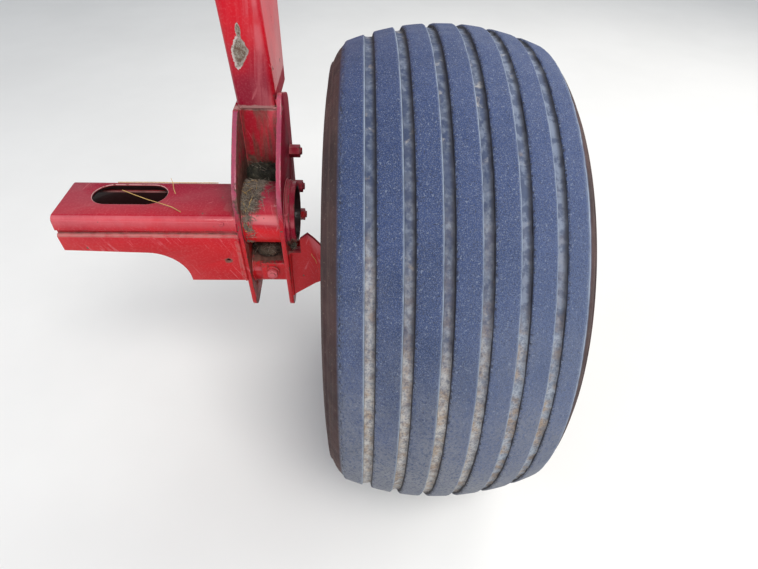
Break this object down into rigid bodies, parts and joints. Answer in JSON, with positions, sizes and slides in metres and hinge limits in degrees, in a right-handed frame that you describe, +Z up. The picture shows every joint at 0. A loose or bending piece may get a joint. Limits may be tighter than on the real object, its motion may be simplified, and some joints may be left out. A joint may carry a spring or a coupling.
{
  "type": "implement wheel and axle end",
  "caption": "Ribbed implement tyre on a disc wheel and hub, turning on a stub spindle held by the red axle end and frame leg of a round baler.",
  "frame": {"origin": "middle of the channel's top sheet at the beam's sawn inboard end", "axes": "+X rearwards, +Y outboard along the axle towards the wheel, +Z up"},
  "size_m": [0.787, 0.7715, 0.9254],
  "materials": {
    "tyre_rubber": "worn, dusty rubber with pale dirt in the grooves",
    "rim_paint": "semi-gloss paint, dusty",
    "hub_paint": "satin black paint, dusty",
    "zinc_plate": "dull zinc plating",
    "machined_steel": "greasy turned steel",
    "seal_rubber": "matt black rubber",
    "red_paint": "semi-gloss red paint with scratches, chips and dust"
  },
  "bodies": {
    "axle_end": {"spindle": "machined_steel", "spindle_nut": "zinc_plate", "beam_channel": "red_paint", "rear_web": "red_paint", "front_web": "red_paint", "belly_plate": "red_paint", "cross_tube": "red_paint", "tube_collar": "red_paint", "inner_plate": "red_paint", "outer_plate": "red_paint", "lock_tab": "red_paint", "lock_bolt": "red_paint", "plate_bolts": "red_paint", "rear_gusset": "red_paint", "front_gusset": "red_paint", "frame_leg": "red_paint", "foot_plate": "red_paint"},
    "wheel": {"tyre": "tyre_rubber", "rim_band": "rim_paint", "wheel_disc": "rim_paint", "valve_stem": "seal_rubber", "hub": "hub_paint", "wheel_studs": "zinc_plate", "dust_cap": "hub_paint", "hub_seal": "seal_rubber"}
  },
  "joints": [
    {"name": "wheel_spin", "type": "hinge", "parent": "axle_end", "child": "wheel", "pos_m": [0, 0.6, -0.131], "axis": [0, 1, 0], "continuous": true}
  ]
}
